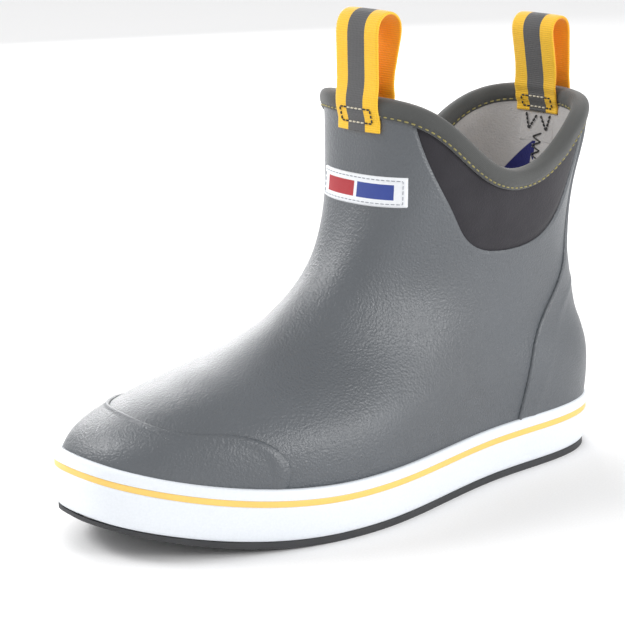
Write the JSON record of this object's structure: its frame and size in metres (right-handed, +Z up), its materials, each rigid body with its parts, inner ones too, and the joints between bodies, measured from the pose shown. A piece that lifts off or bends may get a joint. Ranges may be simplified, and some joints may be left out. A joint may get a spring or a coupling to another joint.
{
  "type": "deck boot",
  "caption": "Ankle-height rubber deck boot with stretch side gores, padded collar, webbing pull loops and a flat siped sole.",
  "frame": {"origin": "on the ground under the middle of the boot's bounding box", "axes": "+Z up, -Y towards the toe, +X towards the outer (lateral) side of the left foot"},
  "size_m": [0.1144, 0.3055, 0.2361],
  "materials": {
    "upper_rubber": "satin, fine pebble grain",
    "gore_knit": "matt stretch knit on neoprene",
    "lining_fleece": "soft brushed knit",
    "binding_tape": "soft stretch tape",
    "webbing": "ribbed woven webbing with a grey centre stripe",
    "sidewall_white": "satin smooth",
    "stripe_yellow": "satin painted line",
    "outsole_rubber": "matt, siped",
    "midsole_foam": "matt foam",
    "shank_plastic": "moulded",
    "board_fibre": "pressed fibre board",
    "footbed_foam": "knit top cloth on foam",
    "stiffener_board": "thermoformed sheet",
    "label_woven": "woven patch with a stitched border",
    "patch_dark": "fleece patch with dark stitches"
  },
  "bodies": {
    "root": {"outsole": "outsole_rubber", "midsole_wedge": "midsole_foam", "shank": "shank_plastic", "insole_board": "board_fibre", "footbed": "footbed_foam", "sidewall": "sidewall_white", "sidewall_stripe": "stripe_yellow", "upper": "upper_rubber", "toe_cap": "upper_rubber", "heel_counter": "upper_rubber", "toe_puff": "stiffener_board", "heel_stiffener": "stiffener_board", "gore_lateral": "gore_knit", "gore_medial": "gore_knit", "lining": "lining_fleece", "collar_binding": "binding_tape", "front_tab_outer": "webbing", "front_tab_inner": "webbing", "rear_tab_outer": "webbing", "rear_tab_inner": "webbing", "front_label": "label_woven", "rear_patch": "patch_dark", "inner_seam_tape": "patch_dark"},
    "front_loop": {"front_pull_loop": "webbing"},
    "rear_loop": {"rear_pull_loop": "webbing"}
  },
  "joints": [
    {"name": "front_loop_fold", "type": "hinge", "parent": "root", "child": "front_loop", "pos_m": [0.00843, 0.00232, 0.194], "axis": [0.9925, 0.1219, 0], "range_deg": [-45, 45], "stiffness_Nm_per_rad": 0.01},
    {"name": "rear_loop_fold", "type": "hinge", "parent": "root", "child": "rear_loop", "pos_m": [-0.00843, 0.13968, 0.182], "axis": [0.9925, 0.1219, 0], "range_deg": [-45, 45], "stiffness_Nm_per_rad": 0.01}
  ]
}
